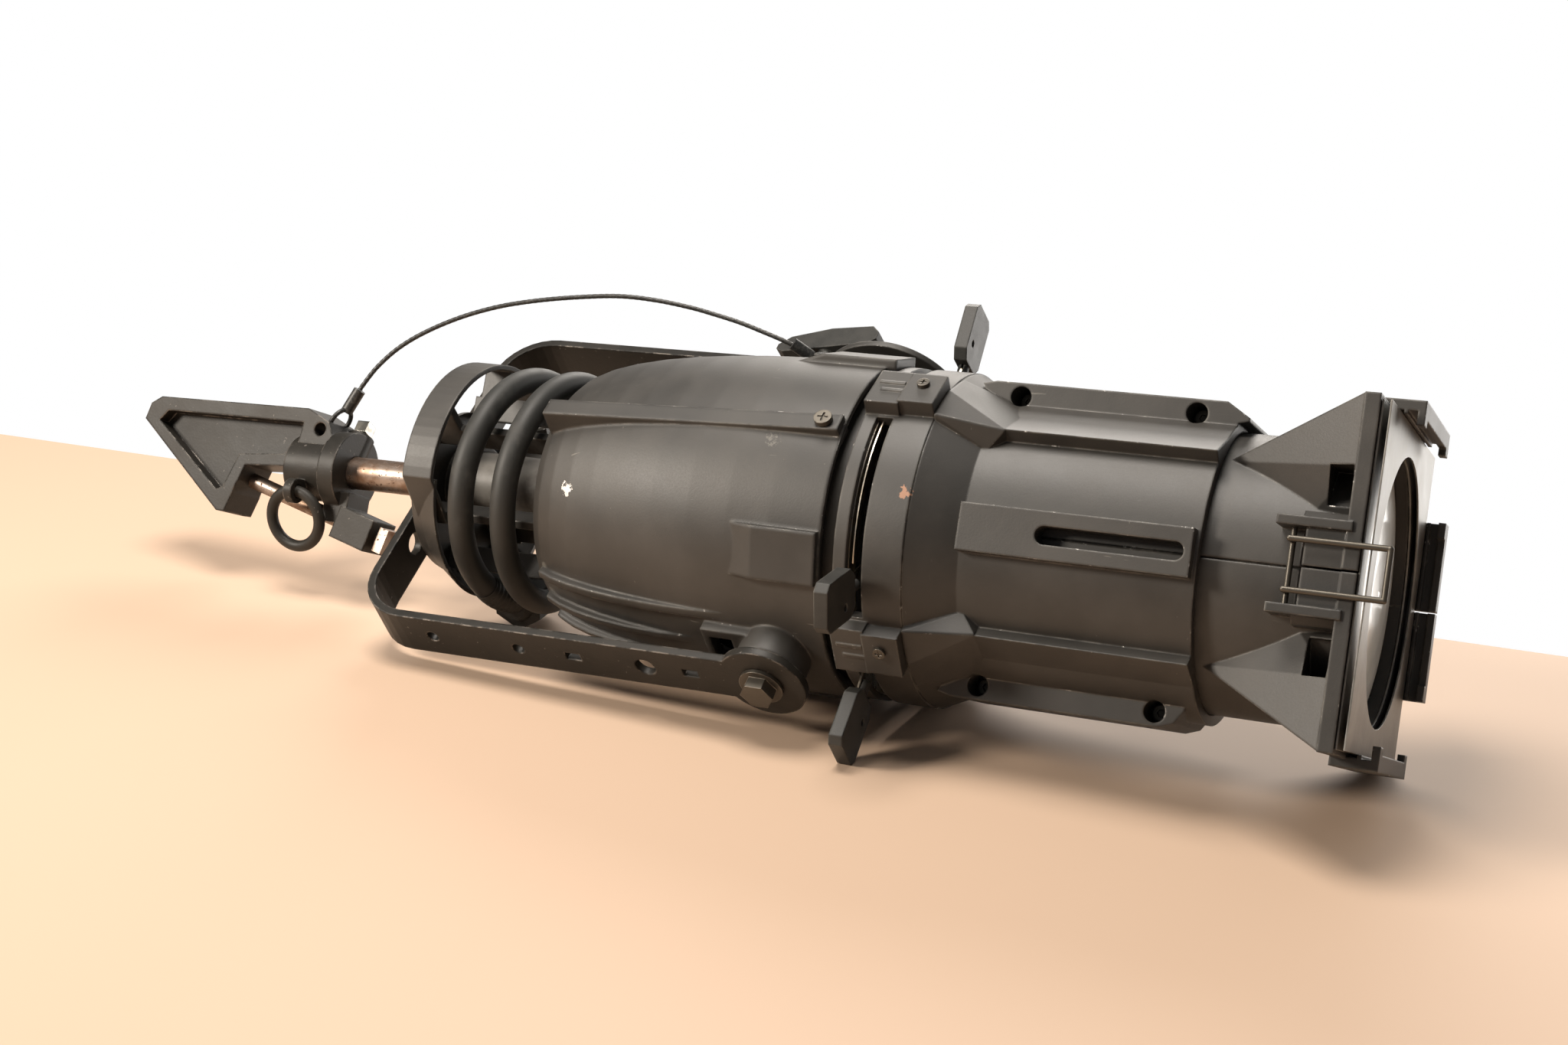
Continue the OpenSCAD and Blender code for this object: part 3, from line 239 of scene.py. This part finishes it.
sheets = [sheet_sector("gate_sheet_back", 47.6, 53, 127),
          sheet_sector("gate_sheet_front", 50.2, 53, 107),
          sheet_sector("gate_sheet_low", 47.6, 143, 217),
          sheet_sector("gate_sheet_high", 47.6, -37, 37)]

# ---- shader arithmetic ----
# The finishes below are written as sums and products of these values.


class Term:
    """A shader value. Python's operators on it add Math nodes; node() adds any other."""

    def __init__(self, tree, socket):
        self.tree, self.socket = tree, socket

    def node(self, kind, settings=None, sockets=None, out=0):
        made = self.tree.nodes.new("ShaderNode" + kind)
        for key, value in (settings or {}).items():
            if key == "stops":
                ramp = made.color_ramp.elements
                while len(ramp) < len(value):
                    ramp.new(0.5)
                for stop, (place, colour) in zip(ramp, value):
                    stop.position, stop.color = place, (*colour, 1.0)
            else:
                setattr(made, key, value)
        for key, value in (sockets or {}).items():
            if isinstance(value, Term):
                self.tree.links.new(value.socket, made.inputs[key])
            else:
                made.inputs[key].default_value = value
        return Term(self.tree, made.outputs[out])

    def _math(self, operation, first, second=0.0):
        return self.node("Math", {"operation": operation}, {0: first, 1: second})

    def __add__(self, other):
        return self._math("ADD", self, other)

    def __sub__(self, other):
        return self._math("SUBTRACT", self, other)

    def __rsub__(self, other):
        return self._math("SUBTRACT", other, self)

    def __mul__(self, other):
        return self._math("MULTIPLY", self, other)

    __radd__, __rmul__ = __add__, __mul__

    def step(self, low, high):
        """0 below low, 1 above high, smooth between; falls when low is above high."""
        return self.node("MapRange", {"interpolation_type": "SMOOTHSTEP"},
                         {"Value": self, "From Min": low, "From Max": high})

    def most(self, other):
        return self._math("MAXIMUM", self, other)

    def noise(self, scale, detail=3.0, rough=0.5, warp=0.0):
        return self.node("TexNoise", None, {"Vector": self, "Scale": scale, "Detail": detail,
                                            "Roughness": rough, "Distortion": warp})

    def mix(self, under, over):
        """Colour under where this value is 0, over where it is 1."""
        made = self.tree.nodes.new("ShaderNodeMix")
        made.data_type = "RGBA"
        self.tree.links.new(self.socket, made.inputs[0])
        for place, value in ((6, under), (7, over)):
            if isinstance(value, Term):
                self.tree.links.new(value.socket, made.inputs[place])
            else:
                made.inputs[place].default_value = (*value, 1.0)
        return Term(self.tree, made.outputs[2])


def start_finish(name):
    """An empty material and its place value, the point on the object in metres."""
    material = bpy.data.materials.new(name)
    material.use_nodes = True
    material.node_tree.nodes.clear()
    coordinate = material.node_tree.nodes.new("ShaderNodeTexCoord")
    return material, Term(material.node_tree, coordinate.outputs["Object"])


def end_finish(material, place, colour, rough, normal=None, metal=0.0, **fixed):
    """Principled shader from the given values; fixed are constants by socket name."""
    sockets = {"Base Color": colour if isinstance(colour, Term) else (*colour, 1.0),
               "Roughness": rough, "Metallic": metal}
    if normal is not None:
        sockets["Normal"] = normal
    sockets.update({key.replace("_", " "): value for key, value in fixed.items()})
    shader = place.node("BsdfPrincipled", None, sockets)
    output = material.node_tree.nodes.new("ShaderNodeOutputMaterial")
    material.node_tree.links.new(shader.socket, output.inputs["Surface"])
    return material


def dress(material, *names):
    for name in names:
        piece = nodes[name] if isinstance(name, str) else name
        piece.data.materials.clear()
        piece.data.materials.append(material)


def rounded(place, radius):
    """Normal that rounds the solids' edges over the radius, and how much an edge it is."""
    soft = place.node("Bevel", {"samples": 6}, {"Radius": radius})
    true = place.node("NewGeometry", None, None, out="True Normal")
    edge = 1 - place.node("VectorMath", {"operation": "DOT_PRODUCT"}, {0: soft, 1: true}, out="Value")
    return soft, edge


# ---- placing by the photograph ----
# A ray through an image point meets the solids; a miss takes the nearest place.


def ray_of(x, y):
    to = Vector((x - W / 2 + shift_x * L, H / 2 - y + shift_y * L, -L * camera_lens / sensor_width))
    return (camera_matrix.to_3x3() @ to).normalized()


def image_of(p):
    q = camera_matrix.inverted() @ Vector(p)
    scale = L * camera_lens / sensor_width / -q.z
    return q.x * scale + W / 2 - shift_x * L, H / 2 - q.y * scale + shift_y * L


def tree_of(objs):
    verts, faces = [], []
    for o in objs:
        base = len(verts)
        verts += [o.matrix_world @ v.co for v in o.data.vertices]
        faces += [[base + i for i in f.vertices] for f in o.data.polygons]
    return BVHTree.FromPolygons(verts, faces)


def place_on(carrier, x, y):
    """Where the image point lies on the carrier, and the surface's normal there."""
    eye = Vector(camera_place)
    hit, normal, _, _ = carrier.ray_cast(eye, ray_of(x, y))
    if hit is None:
        along = ray_of(x, y)
        guesses = [carrier.find_nearest(eye + along * d) for d in np.linspace(0.8, 2.0, 60)]
        hit, normal, _, _ = min(guesses, key=lambda g: g[3])
    return hit, normal


# ---- cast parts ----
# Die-cast aluminium, stove-painted satin black. The paint is finely grained,
# scuffed pale along the edges, scratched, and chipped to metal or primer.
cast_parts = ("reflector_housing", "lamp_cap", "tilt_disc", "gate_ring", "barrel_top",
              "barrel_bottom", "lens_tube_left", "lens_tube_right")
cast_tree = tree_of([nodes[n] for n in cast_parts])
chip_place = {n: place_on(cast_tree, *p)[0] for n, p in chips.items()}
cast_dark = (0.022, 0.020, 0.017)
cast_pale = (0.040, 0.036, 0.031)
worn_paint = (0.15, 0.14, 0.12)
bare_cast = (0.62, 0.60, 0.57)
primer = (0.33, 0.17, 0.10)
cast_corner = 0.0016
shell_corner = 0.003
chip_sizes = (("housing_chip", 0.0036), ("ring_chip", 0.0034), ("housing_scuff", 0.0045))


def cast_paint(name, rounding=None):
    """Black stove paint. A wider rounding smooths a turned shell without wearing its edges more."""
    material, p = start_finish(name)
    soft, edge = rounded(p, cast_corner)
    if rounding:
        soft = rounded(p, rounding)[0]
    cloud = p.noise(14.0, 4.0, 0.6)
    grain = p.noise(900.0, 2.0, 0.6)
    blotch = p.noise(55.0, 5.0, 0.65)
    colour = cloud.step(0.35, 0.7).mix(cast_dark, cast_pale)
    scuff = edge.step(0.01, 0.12) * blotch.step(0.42, 0.62)
    long_way = p.node("Mapping", None,
                      {"Vector": p, "Rotation": (0.3, 0.05, 0.5), "Scale": (12, 240, 60)})
    scratch = long_way.noise(3.2, 2.0, 0.5).step(0.735, 0.76) * cloud.step(0.46, 0.6)
    cross_way = p.node("Mapping", None,
                       {"Vector": p, "Rotation": (0.9, 1.1, 0.2), "Scale": (180, 16, 90)})
    nick = cross_way.noise(2.6, 2.0, 0.5).step(0.75, 0.775) * blotch.step(0.5, 0.6)
    rub = (scuff * 0.8).most(scratch * 0.6).most(nick * 0.5)
    colour = rub.mix(colour, worn_paint)
    flake = edge.step(0.05, 0.25) * p.noise(120.0, 3.0, 0.7).step(0.63, 0.68)
    for chip, size in chip_sizes:
        far = p.node("VectorMath", {"operation": "DISTANCE"},
                     {0: p, 1: tuple(chip_place[chip])}, out="Value")
        near = (far + (p.noise(330.0, 4.0, 0.7) - 0.5) * 0.013).step(size, size * 0.8)
        if chip == "ring_chip":
            colour = near.mix(colour, primer)
        elif chip == "housing_chip":
            flake = flake.most(near)
        else:
            colour = (near * p.noise(700.0, 2.0).step(0.4, 0.6) * 0.6).mix(colour, worn_paint)
    colour = flake.mix(colour, bare_cast)
    rough = cloud * 0.20 + 0.37 + grain * 0.08 - rub * 0.05
    height = grain * 0.25 + blotch * 0.5 - flake * 1.0 - scratch * 0.5
    bump = p.node("Bump", None, {"Strength": 0.35, "Distance": 0.0004, "Height": height, "Normal": soft})
    return end_finish(material, p, colour, rough, bump, metal=flake * 0.9, Specular_IOR_Level=0.65)


dress(cast_paint("satin_cast_paint"), *cast_parts)
dress(cast_paint("satin_housing_paint", shell_corner), "reflector_housing")

# ---- moulded grips ----
# Glass-filled black nylon: shutter grips, focus knob, T-handle and washers. A
# fine sandy texture, greyer where hands have rubbed the corners.
material, p = start_finish("moulded_nylon")
soft, edge = rounded(p, 0.0014)
sand = p.noise(1300.0, 2.0, 0.6)
patch = p.noise(70.0, 4.0, 0.6)
rubbed = edge.step(0.02, 0.2) * patch.step(0.4, 0.6)
colour = patch.step(0.3, 0.7).mix((0.018, 0.018, 0.016), (0.030, 0.029, 0.026))
colour = rubbed.mix(colour, (0.12, 0.115, 0.10))
bump = p.node("Bump", None, {"Strength": 0.3, "Distance": 0.0003, "Height": sand, "Normal": soft})
nylon = end_finish(material, p, colour, patch * 0.2 + 0.42, bump)
dress(nylon, "top_grip", "right_grip", "left_grip", "bottom_grip", "focus_knob", "centring_knob",
      "pivot_washers", "clamp_shoe", "tee_handle", "lens_rings")

# ---- yoke, hook and ring ----
# Bent steel strip, cast hook and forged ring under a thinner, glossier black
# coat that is worn to the steel on its edges.
material, p = start_finish("black_steel_coat")
soft, edge = rounded(p, 0.0018)
cloud = p.noise(22.0, 4.0, 0.6)
blotch = p.noise(90.0, 4.0, 0.65)
worn = edge.step(0.02, 0.15) * blotch.step(0.47, 0.6)
speck = p.noise(340.0, 2.0, 0.6).step(0.70, 0.74)
colour = cloud.step(0.3, 0.7).mix((0.012, 0.011, 0.009), (0.024, 0.021, 0.017))
colour = worn.most(speck * 0.5).mix(colour, (0.20, 0.18, 0.16))
bump = p.node("Bump", None, {"Strength": 0.3, "Distance": 0.0005,
                             "Height": blotch * 0.6 + p.noise(700.0, 2.0) * 0.3, "Normal": soft})
black_steel = end_finish(material, p, colour, cloud * 0.25 + 0.34, bump, metal=worn * 0.7,
                         Specular_IOR_Level=0.3)
dress(black_steel, "yoke", "hook_clamp", "safety_ring")

# ---- spigot and pipe bolt ----
# Bare turned steel, browned by handling, with fine lathe rings and dark pits.
material, p = start_finish("browned_steel")
cloud = p.noise(60.0, 5.0, 0.65)
pits = p.noise(420.0, 3.0, 0.6).step(0.60, 0.68)
colour = cloud.step(0.35, 0.65).mix((0.36, 0.30, 0.26), (0.20, 0.13, 0.09))
colour = pits.mix(colour, (0.10, 0.06, 0.04))
rings = p.node("Mapping", None, {"Vector": p, "Scale": (1500, 30, 30)}).noise(1.0, 2.0)
bump = p.node("Bump", None, {"Strength": 0.25, "Distance": 0.0003, "Height": rings * 0.6 - pits})
browned = end_finish(material, p, colour, cloud * 0.3 + 0.26 + pits * 0.2, bump, metal=0.95 - pits * 0.5)
dress(browned, "spigot", "pipe_bolt")

# ---- nut and square screw ----
# Zinc-plated steel, bright with a faint yellow cast, darker in random patches.
material, p = start_finish("zinc_plate")
soft, edge = rounded(p, 0.0005)
cloud = p.noise(180.0, 3.0, 0.6)
colour = cloud.step(0.35, 0.7).mix((0.56, 0.54, 0.49), (0.34, 0.32, 0.28))
bump = p.node("Bump", None, {"Strength": 0.15, "Distance": 0.0002,
                             "Height": p.noise(1500.0, 2.0), "Normal": soft})
zinc = end_finish(material, p, colour, cloud * 0.25 + 0.2, bump, metal=1.0)
dress(zinc, "spigot_nut", "pan_screw")

# ---- blackened bolts, screws and latch wire ----
# The same fasteners, blackened: their heads look dark in the photograph.
material, p = start_finish("blackened_steel")
soft, edge = rounded(p, 0.0007)
cloud = p.noise(120.0, 3.0, 0.6)
colour = (edge.step(0.03, 0.2) * cloud.step(0.4, 0.6)).mix((0.10, 0.09, 0.075), (0.36, 0.33, 0.29))
blackened = end_finish(material, p, colour, cloud * 0.25 + 0.3, soft, metal=0.8)
dress(blackened, "near_pivot_bolt", "far_pivot_bolt", "barrel_screws", "housing_screws",
      "bridge_screws", "latch_wire")

# ---- shutter blades ----
# Stainless sheet, rolled lengthwise, with straw and blue heat tints.
material, p = start_finish("heat_tinted_blade")
cloud = p.noise(40.0, 4.0, 0.6)
colour = p.node("ValToRGB", {"stops": [(0.3, (0.66, 0.64, 0.60)), (0.55, (0.52, 0.44, 0.33)),
                                       (0.75, (0.33, 0.33, 0.38))]}, {"Fac": cloud})
lines = p.node("Mapping", None, {"Vector": p, "Scale": (900, 900, 20)}).noise(1.0, 2.0)
bump = p.node("Bump", None, {"Strength": 0.1, "Distance": 0.0002, "Height": lines})
blade_steel = end_finish(material, p, colour, lines * 0.2 + 0.2, bump, metal=1.0)
dress(blade_steel, "top_shutter", "right_shutter", "left_shutter", "bottom_shutter", *sheets)

# ---- colour frame ----
# Thin pressed steel frame in dull grey paint. Its edges are coloured bright: partly rubbed bare, partly a
# painted highlight along the thin sheet edges.
material, p = start_finish("frame_paint")
soft, edge = rounded(p, 0.0004)
cloud = p.noise(50.0, 4.0, 0.6)
# pale edge colour: partly rubbed bare steel, partly a painted highlight on the sheet edges
colour = (edge.step(0.02, 0.2) * cloud.step(0.35, 0.6)).mix(
    cloud.step(0.3, 0.7).mix((0.15, 0.145, 0.135), (0.24, 0.23, 0.21)), (0.60, 0.58, 0.54))
frame_paint = end_finish(material, p, colour, cloud * 0.2 + 0.35, soft, metal=0.5)
dress(frame_paint, "accessory_frame")

# ---- rubber of the lead and plug ----
# Black rubber, greyed by a dull bloom and by fine dust in its pores.
material, p = start_finish("flex_rubber")
cloud = p.noise(45.0, 4.0, 0.6)
pores = p.noise(1600.0, 2.0)
dust = cloud.step(0.5, 0.75)
colour = (dust * 0.6).mix((0.020, 0.020, 0.018), (0.060, 0.058, 0.052))
bump = p.node("Bump", None, {"Strength": 0.2, "Distance": 0.0002, "Height": pores})
rubber = end_finish(material, p, colour, dust * 0.15 + 0.55, bump)
dress(rubber, lead, *boots, "plug")

# ---- coated wire rope ----
# Twisted strands under black plastic, with crimped sleeves of blackened copper.
material, p = start_finish("coated_rope")
strand = p.noise(600.0, 2.0)
bump = p.node("Bump", None, {"Strength": 0.2, "Distance": 0.0001, "Height": strand})
coated = end_finish(material, p, strand.step(0.4, 0.7).mix((0.020, 0.020, 0.019), (0.055, 0.053, 0.048)),
                    strand * 0.15 + 0.35, bump)
dress(coated, rope, "clamp_ferrule", "stud_ferrule")

# ---- lamp socket ----
# Steatite ceramic, smoked dark grey by the lamp, with a dry glaze and stains.
material, p = start_finish("steatite")
stain = p.noise(55.0, 5.0, 0.6)
colour = stain.step(0.4, 0.75).mix((0.16, 0.15, 0.135), (0.07, 0.06, 0.05))
bump = p.node("Bump", None, {"Strength": 0.2, "Distance": 0.0003, "Height": p.noise(500.0, 2.0)})
ceramic = end_finish(material, p, colour, stain * 0.2 + 0.4, bump)
dress(ceramic, "lamp_socket")

# ---- lenses and lamp ----
# Pressed borosilicate. The front lens is coloured pale and milky with little
# transmission: partly a film of dust, partly a painted reflection of the white
# room in front of it. The rear lens and the lamp behind it are nearly clean.
for name, clear, dull, wearers in (("lens_dust_and_painted_reflection", 0.30, 0.12, ("front_lens",)),
                                   ("clean_glass", 0.95, 0.0, ("rear_lens", "lamp"))):
    material, p = start_finish(name)
    haze = p.noise(30.0, 4.0, 0.6)
    # pale colour: partly dust, partly a painted reflection of the white room
    pale_glass_tint = haze.step(0.3, 0.75).mix((0.80, 0.83, 0.80), (0.93, 0.94, 0.90))
    glass = end_finish(material, p, pale_glass_tint, haze * 0.12 + dull, None, Transmission_Weight=clear, IOR=1.5)
    dress(glass, *wearers)

# ---- reflector ----
# Glass bowl with a cold-mirror coat, bright and faintly dimpled.
material, p = start_finish("mirror_coat")
dimple = p.node("TexVoronoi", {"feature": "F1"}, {"Vector": p, "Scale": 110.0}, out="Distance")
bump = p.node("Bump", None, {"Strength": 0.5, "Distance": 0.001, "Height": dimple})
mirror = end_finish(material, p, dimple.step(0.0, 0.8).mix((0.86, 0.86, 0.84), (0.74, 0.75, 0.76)),
                    0.08, bump, metal=1.0)
dress(mirror, "reflector")

# ---- floor, light and room ----
# A plain tan floor and a white room, lit softly from the left, from above and
# from behind. The floor ends at a back edge, where the photograph's table ends.


def on_floor(x, y):
    to = ray_of(x, y)
    return Vector(camera_place) - to * (camera_place[2] / to.z)


edge_left, edge_right = on_floor(*table_edge[0]), on_floor(*table_edge[1])
edge_way = (edge_right - edge_left).normalized()
near_way = Vector((edge_way.y, -edge_way.x, 0))
floor_side, floor_depth = 6, 8
back = [edge_left - edge_way * floor_side, edge_right + edge_way * floor_side]
floor_mesh = bpy.data.meshes.new("floor")
front = [corner + near_way * floor_depth for corner in back]
floor_mesh.from_pydata([back[0], front[0], front[1], back[1]], [], [(0, 1, 2, 3)])
floor = bpy.data.objects.new("floor", floor_mesh)
scene.collection.objects.link(floor)
material, p = start_finish("pale_floor")
end_finish(material, p, (0.58, 0.42, 0.305), 0.6)
floor.data.materials.append(material)


def soft_lamp(name, place, aim, size, watts, colour):
    data = bpy.data.lights.new(name, "AREA")
    data.shape, data.size, data.energy, data.color = "DISK", size, watts, colour
    lamp = bpy.data.objects.new(name, data)
    lamp.location = place
    lamp.rotation_euler = (Vector(aim) - Vector(place)).to_track_quat("-Z", "Y").to_euler()
    scene.collection.objects.link(lamp)


soft_lamp("window", (-1.55, -1.45, 1.15), (0, 0, 0.1), 0.62, 58, (1.0, 0.91, 0.80))
soft_lamp("backdrop", (-0.5, 2.3, 1.45), (0.1, 0, 0.15), 1.5, 48, (1.0, 0.94, 0.87))
soft_lamp("ceiling", (-0.25, -0.2, 1.75), (0.1, 0, 0.1), 0.9, 34, (1.0, 0.93, 0.85))
soft_lamp("wall", (0.75, 1.5, 0.15), (0.3, 0, 0.12), 1.2, 14, (1.0, 0.96, 0.91))
world = bpy.data.worlds.new("room")
scene.world = world
world.use_nodes = True
world.node_tree.nodes.clear()
seen = Term(world.node_tree, world.node_tree.nodes.new("ShaderNodeLightPath").outputs["Is Camera Ray"])
white = seen.node("Background", None, {"Color": (1, 1, 1, 1), "Strength": 1.0})
fill = seen.node("Background", None, {"Color": (0.95, 0.97, 1.0, 1), "Strength": 0.15})
room = seen.node("MixShader", None, {0: seen, 1: fill, 2: white})
world_out = world.node_tree.nodes.new("ShaderNodeOutputWorld")
world.node_tree.links.new(room.socket, world_out.inputs["Surface"])
scene.view_settings.view_transform = "Standard"

# ---- how far each thing shows from its image point ----
# Edges come from the vertices that show. The offsets are worked out here but not printed.
bpy.context.view_layer.update()
cords = {lead.name, rope.name, "plug", "power_lead", "safety_cable"}
shown_pieces = [o for o in scene.objects if o.type == "MESH" and o is not floor
                and o.name not in cords and not o.hide_render]
whole_tree = tree_of(shown_pieces)


def showing(obj):
    """Image places of the object's vertices that the camera sees."""
    eye = Vector(camera_place)
    out = []
    verts = obj.data.vertices
    for i in range(0, len(verts), max(1, len(verts) // 900)):
        v = obj.matrix_world @ verts[i].co
        far = (v - eye).length
        hit, _, _, reach = whole_tree.ray_cast(eye, (v - eye) / far)
        if hit is None or reach > far - 0.0012:
            out.append(image_of(v))
    return np.array(out).reshape(-1, 2)


every = np.vstack([showing(o) for o in shown_pieces])
for name, value, column, pick in (("left", edges["left"], 0, np.min), ("right", edges["right"], 0, np.max),
                                  ("top", edges["top"], 1, np.min), ("bottom", edges["bottom"], 1, np.max)):
    round(float(pick(every[:, column])) - value, 1)
for name, (x, y) in points.items():
    seen_at = showing(nodes[name])
for name, (x, y) in chips.items():
    at = image_of(chip_place[name])
    round(at[0] - x, 1)
    round(at[1] - y, 1)
